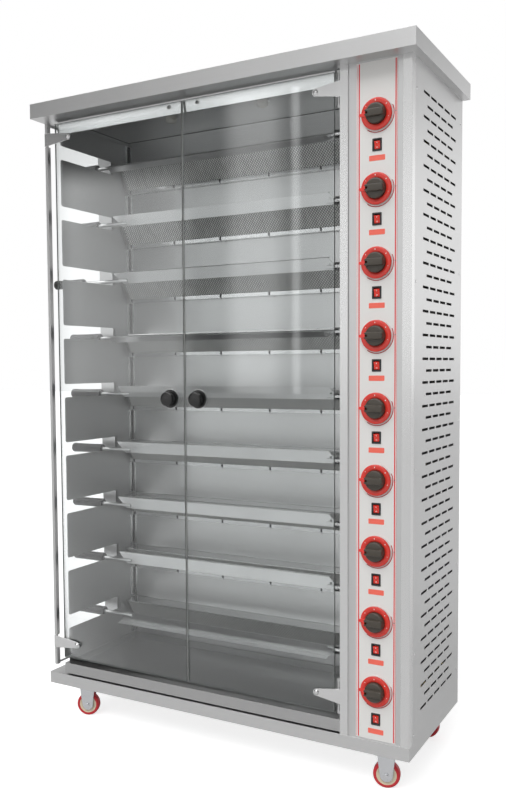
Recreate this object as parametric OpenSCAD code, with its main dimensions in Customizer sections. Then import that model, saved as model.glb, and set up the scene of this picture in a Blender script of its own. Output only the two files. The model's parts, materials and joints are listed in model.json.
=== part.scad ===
// Upright chicken rotisserie with nine spits, a gas burner behind each spit, two glass doors,
// a control column and four swivel casters. Millimetres, +Z up, front towards -Y.
// Inside cabinet() the origin is the left front corner of the base, at its underside.

/* [Tiers] */
// Number of spit tiers
tiers = 9; // [3:1:9]
// Height from one tier to the next
tier_pitch = 193.8; // [180:0.2:215]
// Height of the lowest spit axis above the underside of the base
first_axis_z = 191; // [180:1:230]
// Height from the top spit axis to the underside of the cap
head_room = 112.6; // [100:0.2:160]

/* [Cabinet] */
// Width of the open bay for the spit handles, left of the slotted wall
handle_bay_w = 56.5; // [45:0.5:80]
// Clear width between the slotted wall and the drive wall
cavity_w = 989; // [900:1:1100]
// Width of the control column
column_w = 199; // [180:1:240]
// Depth of the base and the cabinet
body_d = 481; // [470:1:560]
// Depth from the front of the base to the back wall of the cavity
back_wall_y = 405; // [395:1:420]
// Thickness of the stainless sheet
sheet_t = 1.5; // [1:0.1:2]
// Height of the base frame
base_h = 37; // [30:1:40]
// Height of the cap
cap_h = 46; // [36:1:60]
// Overhang of the cap at the front
cap_front = 45; // [30:1:60]
// Overhang of the cap at the right side
cap_side = 23; // [10:1:40]
// Overhang of the cap at the back
cap_back = 3; // [0:1:10]
// Depth of the recess in the cap that the ceiling closes
ceiling_recess = 12; // [6:1:20]

/* [Doors] */
// Thickness of the glass
glass_t = 6; // [5:0.5:8]
// Front face of the glass behind the front of the base
glass_y = 24; // [22:1:26]
// Gap between the two leaves
seam_gap = 3; // [2:0.5:6]
// Left edge of the left leaf from the left side of the cabinet
door_left = 42; // [36:1:50]
// Gap between the right leaf and the drive wall
door_right_gap = 26; // [24:1:32]
// Height of the lower edge of the doors
door_bottom = 86; // [82:1:100]
// Gap between the doors and the cap
door_top_gap = 6; // [4:1:12]
// Distance of the hinge bolts from the outer edge of the glass
bolt_inset = 54.5; // [45:0.5:70]
// Height of a hinge plate at its hinge end
tab_h = 43; // [34:1:50]
// Radius of the rounded end of a hinge plate
tab_r = 10.5; // [9:0.5:14]
// Distance of the hinge bolts from the top and the bottom of the doors
tab_inset = 48; // [44:1:70]
// Thickness of the hinge plates
tab_t = 2; // [1.5:0.5:2.5]
// Diameter of the flange of a door knob
door_knob_d = 56; // [45:1:64]
// Distance of the door knobs from the seam
door_knob_inset = 50; // [40:1:80]
// Height of the door knobs
door_knob_z = 961; // [800:1:1100]

/* [Spits] */
// Spit axis behind the front of the base
spit_y = 235; // [225:1:245]
// Diameter of the spit shaft
shaft_d = 12; // [10:1:14]
// Width of the wide leg of the spit blade
blade_w = 38; // [32:1:42]
// Height of the upper edge of the spit blade above the spit axis
blade_rise = 28; // [20:1:28]
// Width of the narrow leg of the spit blade
blade_leg = 22; // [15:1:24]
// Thickness of the spit blade
blade_t = 2; // [1.5:0.5:3]
// Gap from the slotted wall to the spit blade
blade_gap = 60; // [50:1:80]
// Length of the drive socket inside the cavity
socket_len = 113; // [60:1:140]
// Diameter of the drive socket
socket_d = 26; // [22:1:30]
// Diameter of a spit handle
handle_d = 32; // [24:1:34]
// Length of a spit handle
handle_len = 130; // [90:1:140]
// Gap from a spit handle to the slotted wall
handle_gap = 3.5; // [2:0.5:30]
// How much further out the handle of the one long spit sits
long_spit_extra = 70; // [0:1:90]
// Height of a slot in the slotted wall
slot_h = 44; // [36:1:60]

/* [Burners] */
// Height of the mesh of a burner
mesh_h = 62; // [50:1:66]
// Gap from the slotted wall to the burners
burner_left = 4; // [2:0.5:60]
// Gap from the burners to the drive wall
burner_right = 45; // [20:0.5:60]
// How far the bar below the mesh stands out in front of the back wall
burner_bar_out = 22; // [18:1:28]
// How far the edge of the hood stands out in front of the back wall
burner_hood_out = 60; // [50:1:64]
// Height of the bar below the mesh
burner_bar_h = 12; // [10:1:16]
// Height of the hood above the mesh, at the back wall
burner_hood_h = 6; // [4:1:12]
// How far the mesh centre lies below the spit axis
burner_drop = 19; // [15:1:22]

/* [Tray] */
// Height of the tray lip
tray_lip_h = 34; // [28:1:35]
// Height of the top of the tray above the underside of the base
tray_top = 75; // [70:1:78]
// Front face of the tray lip behind the front of the base
tray_front = 6; // [0:1:12]
// Height of the tray pan
tray_h = 25; // [20:1:30]

/* [Controls] */
// Width of the left post of the control column
post_left_w = 23; // [18:1:30]
// Width of the right post of the control column
post_right_w = 25; // [18:1:30]
// Depth of the posts
post_d = 25; // [22:1:32]
// How far the control panel lies behind the front of the posts
panel_recess = 4; // [3:0.5:8]
// Width of the printed fascia
fascia_w = 113; // [100:1:125]
// Diameter of the knob skirt
skirt_d = 84; // [70:1:90]
// Diameter of the knob grip
grip_d = 54; // [40:1:58]
// Height of the lowest knob below the lowest spit axis
knob_drop = 14.4; // [10:0.1:18]
// How much closer together the control stations are than the tiers
station_less = 1.8; // [0:0.1:2]
// Height from a knob down to its switch
switch_drop = 78; // [68:1:84]
// Height from a knob down to its label plate
label_drop = 112; // [104:1:116]

/* [Casters] */
// Diameter of the wheels
wheel_d = 75; // [60:1:90]
// Width of the wheels
wheel_w = 25; // [20:1:32]
// Height of a caster
caster_h = 108; // [104:1:130]
// Trail of a caster
trail = 22; // [22:1:32]
// Distance of the left casters from the left of the base
caster_inset_left = 95; // [75:1:140]
// Distance of the right casters from the right of the base
caster_inset_right = 103; // [75:1:140]
// Distance of the casters from the front and back of the base
caster_inset_y = 50; // [46:1:90]

/* [Ventilation] */
// Pitch of the slot rows in the side panel
row_pitch = 32.1; // [28:0.1:40]
// Length of a slot in the side panel
vent_l = 52; // [30:1:56]
// Height of a slot in the side panel
vent_h = 7; // [4:0.5:8]

/* [Hidden] */
$fn = 64;
seat_gap = 0.3;
run_gap = 0.05;
// How far a cutting shape runs past a face, and a small overlap that joins two solids
past = 1;
join = 0.01;
wall_face = handle_bay_w + sheet_t;
drive_x = wall_face + cavity_w;
body_w = drive_x + column_w;
cap_z = first_axis_z + (tiers - 1) * tier_pitch + head_room;
cap_w = body_w + cap_side;
handle_left = handle_bay_w - handle_gap - handle_len;
long_tier = 7;
leftmost = handle_left - (tiers >= long_tier ? long_spit_extra : 0);
mid_x = (leftmost + cap_w) / 2;
mid_y = (body_d + cap_back - cap_front) / 2;
// Turn of each spit at rest, from the bottom tier up
spit_turns = [192, -6, -2, 3, -14, 125, 14, 12, 140];
// Swivel of each caster at rest: front left, front right, rear left, rear right
caster_turns = [21, 14, 15, -2];
steel = "silver";
bright = "gainsboro";
red = "firebrick";
black = "dimgray";

function axis_z(i) = first_axis_z + (i - 1) * tier_pitch;
function numbered(name, n) = [for (i = [1:n]) str(name, "_", i)];
function caster_x(i) = i % 2 == 1 ? caster_inset_left : body_w - caster_inset_right;
function caster_y(i) = i <= 2 ? caster_inset_y : body_d - caster_inset_y;

FIXED = ["base_frame", "top_cap", "ceiling_panel", "slotted_wall", "drive_wall", "back_wall",
    "rear_cover", "left_frame", "wall_brackets", "top_rail", "column_posts", "control_panel",
    "fascia_plate", "dial_trim", "side_panel", "burner_housings", "burner_meshes",
    "gear_motors", "gas_manifold", "interior_lamps"];
DOORS = ["door_glass_left", "door_fittings_left", "door_glass_right", "door_fittings_right"];

// Places its children in the part's frame
module cabinet() translate([-mid_x, -mid_y, caster_h]) children();

// Box from one corner to the other
module block(a, b) translate(a) cube(b - a);

// Turns a profile in (y, z) into a bar along X from x0 to x1
module along_x(x0, x1) translate([x0, 0, 0]) rotate([90, 0, 90]) linear_extrude(x1 - x0) children();

// Turns a profile in (x, z) into a plate along Y from y0 to y1
module along_y(y0, y1) translate([0, y1, 0]) rotate([90, 0, 0]) linear_extrude(y1 - y0) children();

module rod_x(x0, x1, y, z, r) translate([x0, y, z]) rotate([0, 90, 0]) cylinder(h = x1 - x0, r = r);

module rod_y(y0, y1, x, z, r) translate([x, y0, z]) rotate([-90, 0, 0]) cylinder(h = y1 - y0, r = r);

plate_l = 76;
plate_d = 60;
plate_t = 3;
race_r = 22;
race_h = 9;
kingpin_r = 5;
kingpin_l = 4;
kingpin_head_h = 3.5;
kingpin_head_r = 9;
drain_r = 6;
fork_crown_z = -plate_t - race_h;

// Base with the four caster plates and their kingpins under it
module base_frame() color(steel) cabinet() {
    t = sheet_t;
    difference() {
        block([0, 0, 0], [body_w, body_d, base_h]);
        block([t, t, t], [body_w - t, body_d - t, base_h - t]);
        translate([body_w / 2, body_d / 2, -past]) cylinder(h = t + 2 * past, r = drain_r);
    }
    for (i = [1:4]) translate([caster_x(i), caster_y(i), 0]) {
        block([-plate_l / 2, -plate_d / 2, -plate_t], [plate_l / 2, plate_d / 2, 0]);
        translate([0, 0, fork_crown_z + seat_gap]) cylinder(h = race_h - seat_gap, r = race_r);
        translate([0, 0, fork_crown_z - fork_t - kingpin_l]) {
            cylinder(h = fork_t + kingpin_l + race_h, r = kingpin_r);
            cylinder(h = kingpin_head_h, r = kingpin_head_r);
        }
    }
}

// Cap with a recess over the cavity
module top_cap() color(steel) cabinet() difference() {
    t = sheet_t;
    block([0, -cap_front, cap_z], [cap_w, body_d + cap_back, cap_z + cap_h]);
    block([t, t - cap_front, cap_z + t], [cap_w - t, body_d + cap_back - t, cap_z + cap_h - t]);
    block([wall_face, rail_y + rail_d, cap_z - past], [drive_x, back_wall_y, cap_z + t + past]);
}

// Ceiling pan of the cavity, let into the recess of the cap
module ceiling_panel() color(steel) cabinet() difference() {
    y0 = rail_y + rail_d;
    top = cap_z + ceiling_recess;
    block([wall_face, y0, cap_z], [drive_x, back_wall_y, top + sheet_t]);
    block([wall_face + sheet_t, y0 + sheet_t, cap_z - past], [drive_x - sheet_t, back_wall_y - sheet_t, top]);
}

// Slotted wall that carries the left ends of the spits
ledge_w = 20;
wall_y = 32;
rail_y = 32;
rail_d = 12;
rail_h = 38;
tray_z = tray_top - tray_h;
ledge_z = tray_z - seat_gap;
ledge_start = wall_y + 6;
finger_r = 8;
slot_floor = shaft_d / 2 + seat_gap;
slot_end = 77;

// Slot, open at the front and rounded where it opens
module wall_slot(z) {
    translate([wall_y - past, z]) square([spit_y + slot_end - wall_y + past, slot_h]);
    for (s = [0, 1]) translate([wall_y, z + s * slot_h]) mirror([0, s]) difference() {
        translate([-past, -finger_r]) square([finger_r + past, finger_r + join]);
        translate([finger_r, -finger_r]) circle(finger_r);
    }
}

module slotted_wall() color(steel) cabinet() along_x(handle_bay_w, wall_face) difference() {
    translate([wall_y, base_h]) square([back_wall_y - wall_y, cap_z - base_h]);
    for (i = [1:tiers]) wall_slot(axis_z(i) - slot_floor);
    translate([wall_y - past, cap_z - rail_h]) square([rail_d + past, rail_h + past]);
}

// Wall between the cavity and the control bay
socket_hole_r = socket_d / 2 + 1;
pipe_r = 11;
pipe_hole_r = pipe_r + 1;
tube_set = 16;
burner_axis_y = back_wall_y + tube_set;

module drive_wall() color(steel) cabinet() along_x(drive_x, drive_x + sheet_t) difference() {
    translate([post_d, base_h]) square([body_d - sheet_t - post_d, cap_z - base_h]);
    for (i = [1:tiers]) {
        translate([spit_y, axis_z(i)]) circle(socket_hole_r);
        translate([burner_axis_y, axis_z(i) - burner_drop]) circle(pipe_hole_r);
    }
}

// Brackets on the two walls: the ledges of the tray and the hinge rods of the right door
module wall_brackets() color(steel) cabinet() {
    for (x = [wall_face, drive_x - ledge_w])
        block([x, ledge_start, ledge_z - sheet_t], [x + ledge_w, back_wall_y, ledge_z]);
    for (z = hinge_heights) {
        translate([hinge_x_right, hinge_y, z - rod_l / 2]) cylinder(h = rod_l, r = pin_r_right);
        for (s = [-1, 1]) translate([0, 0, z + s * (rod_l - lug_h) / 2 - lug_h / 2]) {
            block([hinge_x_right, max(hinge_y - lug_r, post_d), 0], [drive_x, hinge_y + lug_r, lug_h]);
            translate([hinge_x_right, hinge_y, 0]) cylinder(h = lug_h, r = lug_r);
        }
    }
}

// Burner rows in the back wall
burner_x = wall_face + burner_left;
burner_end = drive_x - burner_right;
burner_depth = 35;
burner_back = back_wall_y + burner_depth;
function burner_low(i) = axis_z(i) - burner_drop - mesh_h / 2 - burner_bar_h;
burner_all_h = burner_bar_h + mesh_h + burner_hood_h;
window_gap = 1;

// Outline of the window of one burner, grown by g
module burner_window(i, g) translate([burner_x - g, burner_low(i) - g])
    square([burner_end - burner_x + 2 * g, burner_all_h + 2 * g]);

module back_wall() color(steel) cabinet() along_y(back_wall_y, back_wall_y + sheet_t) difference() {
    translate([handle_bay_w, base_h]) square([drive_x - handle_bay_w, cap_z - base_h]);
    for (i = [1:tiers]) burner_window(i, window_gap);
}

bar_y = back_wall_y - burner_bar_out;
hood_y = back_wall_y - burner_hood_out;
mesh_t = 1;
mesh_set = 2;
mesh_side = 12;
burner_t = 3;
flange_w = 8;
tube_r = 9;
tube_out = 40;
tube_end = drive_x + tube_out;
plug_l = 6;

// Burners: a bar, a hood above it, a flange behind the back wall and a gas tube. The face between
// the bar and the edge of the hood leans forward and carries the mesh.
module burner_housings() color(bright) cabinet() for (i = [1:tiers]) {
    top = burner_bar_h + mesh_h;
    inner = burner_back - burner_t;
    y0 = back_wall_y + sheet_t;
    tube_z = burner_bar_h + mesh_h / 2;
    translate([0, 0, burner_low(i)]) difference() {
        union() {
            along_x(burner_x, burner_end) polygon([[burner_back, 0], [bar_y, 0], [bar_y, burner_bar_h],
                [hood_y, top], [hood_y, top + burner_t], [back_wall_y, burner_all_h],
                [burner_back, burner_all_h]]);
            rod_x(burner_end - join, tube_end, burner_axis_y, tube_z, pipe_r);
        }
        along_x(burner_x + mesh_side, burner_end - mesh_side) polygon([[bar_y - past, burner_bar_h],
            [hood_y - past, top], [inner, top], [inner, burner_bar_h]]);
        along_x(burner_x + burner_t, burner_end - burner_t) polygon([[inner, burner_t],
            [bar_y + burner_t, burner_t], [bar_y + burner_t, burner_bar_h], [hood_y + burner_t, top],
            [back_wall_y, burner_all_h - burner_t], [inner, burner_all_h - burner_t]]);
        rod_x(burner_end - mesh_side - past, tube_end + past, burner_axis_y, tube_z, tube_r);
    }
    along_y(y0, y0 + sheet_t) difference() {
        burner_window(i, flange_w);
        burner_window(i, -join);
    }
}

module burner_meshes() color("darkgray") cabinet() for (i = [1:tiers])
    translate([0, mesh_set, burner_low(i) + burner_bar_h])
        along_x(burner_x + mesh_side, burner_end - mesh_side) polygon([[bar_y, 0], [hood_y, mesh_h],
            [hood_y + mesh_t, mesh_h], [bar_y + mesh_t, 0]]);

// Rear cover with the opening for the gas inlet, a cable gland and two fields of vent slots
inlet_in = 60;
inlet_up = 70;
inlet_x = body_w - inlet_in;
inlet_z = base_h + inlet_up;
inlet_r = 13;
gland_up = 90;
gland_z = inlet_z + gland_up;
gland_r = 11;
gland_bore_r = 5;
gland_l = 8;
rear_vents = 10;
rear_vent_l = 180;
rear_vent_h = 6;
rear_vent_top = 60;

module rear_cover() color(steel) cabinet() {
    along_y(body_d - sheet_t, body_d) difference() {
        translate([0, base_h]) square([body_w, cap_z - base_h]);
        translate([inlet_x, inlet_z]) circle(inlet_r + past);
        translate([inlet_x, gland_z]) circle(gland_bore_r);
        for (k = [1:rear_vents], x = [body_w / 4, body_w * 3 / 4])
            translate([x - rear_vent_l / 2, cap_z - rear_vent_top - k * row_pitch])
                square([rear_vent_l, rear_vent_h]);
    }
    difference() {
        rod_y(body_d - gland_l, body_d + cap_back, inlet_x, gland_z, gland_r);
        rod_y(body_d - gland_l - past, body_d + cap_back + past, inlet_x, gland_z, gland_bore_r);
    }
}

// Hinges: the pins stand in the left frame, and in lugs on the drive wall at the right
bay_post_set = 65;
bay_post_y = spit_y + bay_post_set;
pin_r_left = 3;
pin_r_right = 4;
pin_back = 5;
hinge_y = glass_y + pin_back;
hinge_x_left = 5;
pin_gap_right = 15;
hinge_x_right = drive_x - pin_gap_right;
eye_r_right = 7;
hinge_post_w = 10;
hinge_post_d = 15;
hinge_post_up = 18;
hinge_post_z = base_h + hinge_post_up;
door_top = cap_z - door_top_gap;
door_right = drive_x - door_right_gap;
seam_x = (door_left + door_right) / 2;
hinge_heights = [door_bottom + tab_inset, door_top - tab_inset + 2];
notch_gap = 1;
notch_h = tab_h + 2 * notch_gap;
frame_bar = 3;
frame_bar_h = 6;
lug_h = 8;
lug_r = 5;
rod_l = 100;

// Left frame: hinge post, a flat bar at the top and the bottom, and the sheet post behind the handles
module left_frame() color(steel) cabinet() {
    y1 = glass_y + hinge_post_d;
    difference() {
        block([0, glass_y, hinge_post_z], [hinge_post_w, y1, cap_z]);
        for (z = hinge_heights) block([-past, glass_y - past, z - notch_h / 2],
            [hinge_post_w + past, y1 + past, z + notch_h / 2]);
    }
    for (z = hinge_heights) translate([hinge_x_left, hinge_y, z - notch_h / 2 - past])
        cylinder(h = notch_h + 2 * past, r = pin_r_left);
    for (z = [hinge_post_z, cap_z - frame_bar_h])
        block([0, y1 - past, z], [frame_bar, bay_post_y + sheet_t, z + frame_bar_h]);
    block([0, bay_post_y, base_h], [handle_bay_w, bay_post_y + sheet_t, cap_z]);
    block([0, bay_post_y, base_h], [sheet_t, body_d - sheet_t, cap_z]);
}

// Rail across the top of the doorway, its face leaning back towards the bottom, with the two ring catches
catch_r = 6;
catch_t = 1.2;
catch_drop = 10;
rail_lean = 4;
rail_out = 11.5;
rail_left = handle_bay_w - rail_out;
rail_right = hinge_x_right - eye_r_right - seat_gap - pin_back;

module top_rail() color(bright) cabinet() {
    along_x(rail_left, rail_right) {
        polygon([[rail_y, cap_z], [rail_y + rail_lean, cap_z - rail_h],
            [rail_y + rail_lean + sheet_t, cap_z - rail_h], [rail_y + sheet_t, cap_z]]);
        translate([rail_y, cap_z - sheet_t]) square([rail_d, sheet_t]);
        translate([rail_y + rail_lean, cap_z - rail_h]) square([rail_d / 2, sheet_t]);
    }
    for (x = [seam_x - door_knob_inset, seam_x + door_knob_inset]) difference() {
        rod_y(rail_y - catch_t, rail_y + rail_lean - sheet_t / 2, x, door_top - catch_drop, catch_r);
        rod_y(rail_y - catch_t - past, rail_y - catch_t / 3, x, door_top - catch_drop, catch_r / 2);
    }
}

// Square posts of the control column
module post(x0, x1) difference() {
    block([x0, 0, base_h], [x1, post_d, cap_z]);
    block([x0 + sheet_t, sheet_t, base_h - past], [x1 - sheet_t, post_d - sheet_t, cap_z + past]);
}

module column_posts() color(bright) cabinet() {
    post(drive_x, drive_x + post_left_w);
    post(body_w - post_right_w, body_w);
}

// Control stations
panel_l = drive_x + post_left_w;
panel_r = body_w - post_right_w;
station_shift = 5;
station_x = (panel_l + panel_r) / 2 + station_shift;
fascia_x = station_x - fascia_w / 2 - 1;
fascia_t = 0.8;
fascia_y = panel_recess - fascia_t;
fascia_margin = 4;
spindle_r = 4;
spindle_hole_r = 6;
switch_w = 26;
switch_h = 33;
switch_hole_w = 22;
switch_hole_h = 28;
rocker_w = 16;
rocker_h = 22;
label_w = 44;
label_h = 14;
label_t = 0.6;
bezel_t = 2;
bezel_w = 5;
frame_t = 2;
frame_lip = 0.5;
switch_l = 22;
switch_floor = 4;
rocker_set = 5;
pin_cover = 3;
function knob_z(i) = axis_z(i) - knob_drop - (i - 1) * station_less;

module station_holes() for (i = [1:tiers]) {
    translate([station_x, knob_z(i)]) circle(spindle_hole_r);
    translate([station_x - switch_hole_w / 2, knob_z(i) - switch_drop - switch_hole_h / 2])
        square([switch_hole_w, switch_hole_h]);
}

module control_panel() color(steel) cabinet() along_y(panel_recess, panel_recess + sheet_t) difference() {
    translate([panel_l, base_h]) square([panel_r - panel_l, cap_z - base_h]);
    station_holes();
}

module fascia_plate() color("whitesmoke") cabinet() along_y(fascia_y, panel_recess) difference() {
    translate([fascia_x, base_h + fascia_margin]) square([fascia_w, cap_z - base_h - 2 * fascia_margin]);
    station_holes();
}

// Bezel rings, switch frames and blank label plates of the stations
module dial_trim() color(red) cabinet() for (i = [1:tiers]) {
    difference() {
        rod_y(fascia_y - bezel_t, fascia_y, station_x, knob_z(i), skirt_d / 2 + bezel_w - 3);
        rod_y(fascia_y - bezel_t - past, fascia_y + past, station_x, knob_z(i), skirt_d / 2 - 3);
    }
    translate([station_x, fascia_y, knob_z(i) - switch_drop]) difference() {
        union() {
            block([-switch_w / 2, -frame_t, -switch_h / 2], [switch_w / 2, 0, switch_h / 2]);
            block([-switch_hole_w / 2, -frame_lip, -switch_hole_h / 2],
                [switch_hole_w / 2, switch_l, switch_hole_h / 2]);
        }
        block([-rocker_w / 2 - seat_gap, -frame_t - past, -rocker_room / 2],
            [rocker_w / 2 + seat_gap, switch_l - switch_floor, rocker_room / 2]);
        rod_x(pin_cover - switch_w / 2, switch_w / 2 - pin_cover, rocker_set, 0, rocker_pin_r + run_gap);
    }
    translate([station_x, fascia_y, knob_z(i) - label_drop])
        block([-label_w / 2, -label_t, -label_h / 2], [label_w / 2, 0, label_h / 2]);
}

// Rocker of one switch, on a pin through the switch frame
rocker_pin_r = 1.5;
rocker_tilt = 9;
rocker_front = 6;
rocker_back = 7;
rocker_room = rocker_h + 3;

module rocker(i) color(red) cabinet() translate([station_x, fascia_y + rocker_set, knob_z(i) - switch_drop]) {
    half = (rocker_h - past) / 2;
    rotate([rocker_tilt, 0, 0]) along_x(-rocker_w / 2, rocker_w / 2) polygon([[rocker_back, -rocker_front],
        [rocker_back, rocker_front], [-rocker_front, half], [past - rocker_front, 0],
        [-rocker_front, -half]]);
    rod_x(pin_cover + seat_gap - switch_w / 2, switch_w / 2 - pin_cover - seat_gap, 0, 0, rocker_pin_r);
}

// Knob of one burner: skirt, hub with a grip bar, and the pointer at its left
knob_gap = 1.2;
knob_back = fascia_y - bezel_t - knob_gap;
skirt_t = 6;
hub_l = 12;
bar_l = 9;
bar_h = 21;
pointer_out = 6;
pointer_l = 28;
pointer_h = 10;
pointer_t = 3;
bore_end = 2;

module knob(i) color(red) cabinet() translate([station_x, 0, knob_z(i)]) {
    front = knob_back - skirt_t;
    difference() {
        union() {
            rod_y(front, knob_back, 0, 0, skirt_d / 2);
            rod_y(front - hub_l, front, 0, 0, grip_d / 2);
            intersection() {
                block([-grip_d, front - hub_l - bar_l, -bar_h / 2], [grip_d, front, bar_h / 2]);
                rod_y(front - hub_l - bar_l, front, 0, 0, grip_d / 2 - past);
            }
            translate([-skirt_d / 2 - pointer_out, 0, 0]) along_y(front - pointer_t, front)
                polygon([[0, 0], [pointer_l, pointer_h / 2], [pointer_l, -pointer_h / 2]]);
        }
        rod_y(front - hub_l + bore_end, knob_back + past, 0, 0, spindle_r + run_gap);
    }
}

// Right side panel with staggered rows of slots
first_row_z = 75.5;
vent_margin = 70;
rows = 2 * floor((cap_z - base_h - first_row_z - vent_margin) / (2 * row_pitch)) + 1;
vent_pitch = 65;
vent_y = 96;
vents_in_row = 5;

module side_panel() color(steel) cabinet() along_x(body_w - sheet_t, body_w) difference() {
    translate([post_d, base_h]) square([body_d - sheet_t - post_d, cap_z - base_h]);
    for (r = [0:rows - 1], k = [0:vents_in_row - 1 - r % 2])
        translate([vent_y + (k + (r % 2) / 2) * vent_pitch, base_h + first_row_z + r * row_pitch])
            translate([0, -vent_h / 2]) square([vent_l, vent_h]);
}

// Gear motors on the drive wall, one behind each drive socket
motor_s = 60;
motor_l = 60;
flange_t = 2.5;
flange_s = 70;
stub_r = 5;
stub_l = 20;

module gear_motors() color("slategray") cabinet() for (i = [1:tiers]) difference() {
    x0 = drive_x + sheet_t;
    union() {
        block([x0, spit_y - flange_s / 2, axis_z(i) - flange_s / 2],
            [x0 + flange_t, spit_y + flange_s / 2, axis_z(i) + flange_s / 2]);
        block([x0 + flange_t, spit_y - motor_s / 2, axis_z(i) - motor_s / 2],
            [x0 + flange_t + motor_l, spit_y + motor_s / 2, axis_z(i) + motor_s / 2]);
    }
    rod_x(x0 - past, x0 + flange_t, spit_y, axis_z(i), socket_hole_r + past);
    rod_x(x0, x0 + flange_t + stub_l + past, spit_y, axis_z(i), stub_r + run_gap);
}

// Gas train: valves with their spindles, the riser that feeds them, and a pipe to each burner
valve_r = 14;
collar_l = 8;
collar_r = spindle_hole_r + 4;
valve_y = panel_recess + sheet_t + collar_l;
valve_l = 42;
feed_in = 12;
feed_y = valve_y + valve_l - feed_in;
riser_r = 10;
feed_r = 5;
elbow = 8;
riser_elbow = 12;
inlet_pipe_r = 8;
inlet_l = 24;
inlet_bore_l = 13;
inlet_t = 3;

module gas_manifold() color("goldenrod") cabinet() {
    for (i = [1:tiers]) {
        z = knob_z(i);
        zb = axis_z(i) - burner_drop;
        rod_y(knob_back - skirt_t - hub_l + 2 * bore_end, valve_y + past, station_x, z, spindle_r);
        rod_y(panel_recess + sheet_t, valve_y, station_x, z, collar_r);
        rod_y(valve_y - join, valve_y + valve_l, station_x, z, valve_r);
        rod_x(station_x, inlet_x, feed_y, z, feed_r);
        rod_y(valve_y + valve_l - past, burner_axis_y, station_x, zb, feed_r);
        translate([station_x, burner_axis_y, zb]) cube(2 * elbow, center = true);
        rod_x(tube_end - plug_l, station_x, burner_axis_y, zb, feed_r);
        rod_x(tube_end - plug_l, tube_end, burner_axis_y, zb, tube_r);
    }
    translate([inlet_x, feed_y, inlet_z]) {
        cylinder(h = knob_z(tiers) - inlet_z + 2 * riser_r, r = riser_r);
        cube(2 * riser_elbow, center = true);
    }
    rod_y(feed_y, body_d - inlet_bore_l, inlet_x, inlet_z, inlet_pipe_r);
    difference() {
        rod_y(body_d - inlet_l, body_d + cap_back, inlet_x, inlet_z, inlet_r);
        rod_y(body_d + cap_back - inlet_bore_l, body_d + cap_back + past, inlet_x, inlet_z,
            inlet_r - inlet_t);
    }
}

// Two lamps under the ceiling
lamp_r = 19;
lamp_h = 26;
lamp_y = 187;
lamp_base_r = 24;
lamp_base_h = 6;

module interior_lamps() color("ivory") cabinet() for (k = [1, 2])
    translate([wall_face + cavity_w * k / 3, lamp_y, cap_z + ceiling_recess - lamp_h]) {
        cylinder(h = lamp_h, r = lamp_r);
        translate([0, 0, lamp_h - lamp_base_h]) cylinder(h = lamp_base_h, r = lamp_base_r);
    }

// Doors: glass, and the fittings clamped to it
bolt_r = 4;
bolt_out = 4;
bolt_head_r = 7;
bolt_head_l = 3;
washer_r = 9;
washer_t = 1;

module door_glass(x0, x1, bolt_x, knob_x) cabinet() color("lightblue", 0.35)
    along_y(glass_y, glass_y + glass_t) difference() {
        translate([x0, door_bottom]) square([x1 - x0, door_top - door_bottom]);
        for (z = hinge_heights) translate([bolt_x, z]) circle(bolt_r + seat_gap);
        translate([knob_x, door_knob_z]) circle(bolt_r + seat_gap);
    }

// Hinge plate with its eye; side is 1 where the leaf lies to the right of the pin
module hinge_plate(pin_x, bolt_x, side, pin_r, eye_r) {
    x0 = pin_x - side * (side > 0 ? hinge_x_left : eye_r);
    difference() {
        union() {
            along_y(glass_y - tab_t, glass_y) {
                polygon([[x0, tab_h / 2], [bolt_x, tab_r], [bolt_x, -tab_r], [x0, -tab_h / 2]]);
                translate([bolt_x, 0]) circle(tab_r);
            }
            translate([pin_x, hinge_y, -tab_h / 2]) cylinder(h = tab_h, r = eye_r);
            block([pin_x - eye_r, glass_y - tab_t, -tab_h / 2], [pin_x + eye_r, hinge_y, tab_h / 2]);
        }
        translate([pin_x, hinge_y, -tab_h / 2 - past]) cylinder(h = tab_h + 2 * past, r = pin_r + run_gap);
    }
    rod_y(glass_y - tab_t - bolt_head_l, glass_y - tab_t, bolt_x, 0, bolt_head_r);
    clamp_bolt(bolt_x);
}

// Bolt through the glass, with its washer at the inner face
module clamp_bolt(x) {
    rod_y(glass_y - tab_t, glass_y + glass_t + bolt_out, x, 0, bolt_r);
    rod_y(glass_y + glass_t, glass_y + glass_t + washer_t, x, 0, washer_r);
}

knob_neck_l = 6;
knob_neck_r = 18;
knob_cap_l = 16;
knob_cap_r = 22;
knob_flange_l = 5;

module door_knob(x) translate([x, 0, door_knob_z]) {
    y1 = glass_y - knob_flange_l;
    rod_y(y1, glass_y, 0, 0, door_knob_d / 2);
    rod_y(y1 - knob_neck_l, y1, 0, 0, knob_neck_r);
    rod_y(y1 - knob_neck_l - knob_cap_l, y1 - knob_neck_l, 0, 0, knob_cap_r);
    clamp_bolt(0);
}

module door_fittings(pin_x, bolt_x, side, pin_r, eye_r, knob_x) color(bright) cabinet() {
    for (z = hinge_heights) translate([0, 0, z]) hinge_plate(pin_x, bolt_x, side, pin_r, eye_r);
    door_knob(knob_x);
}

left_bolt_x = door_left + bolt_inset;
right_bolt_x = door_right - bolt_inset;

module door_glass_left() door_glass(door_left, seam_x - seam_gap / 2, left_bolt_x, seam_x - door_knob_inset);

module door_glass_right() door_glass(seam_x + seam_gap / 2, door_right, right_bolt_x,
    seam_x + door_knob_inset);

module door_fittings_left() door_fittings(hinge_x_left, left_bolt_x, 1, pin_r_left,
    hinge_x_left, seam_x - door_knob_inset);

module door_fittings_right() door_fittings(hinge_x_right, right_bolt_x, -1, pin_r_right,
    eye_r_right, seam_x + door_knob_inset);

// Drip tray: a pan with a lip across its front, which slides out below the doors
tray_side_gap = 2;
tray_back_gap = 4;

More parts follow.
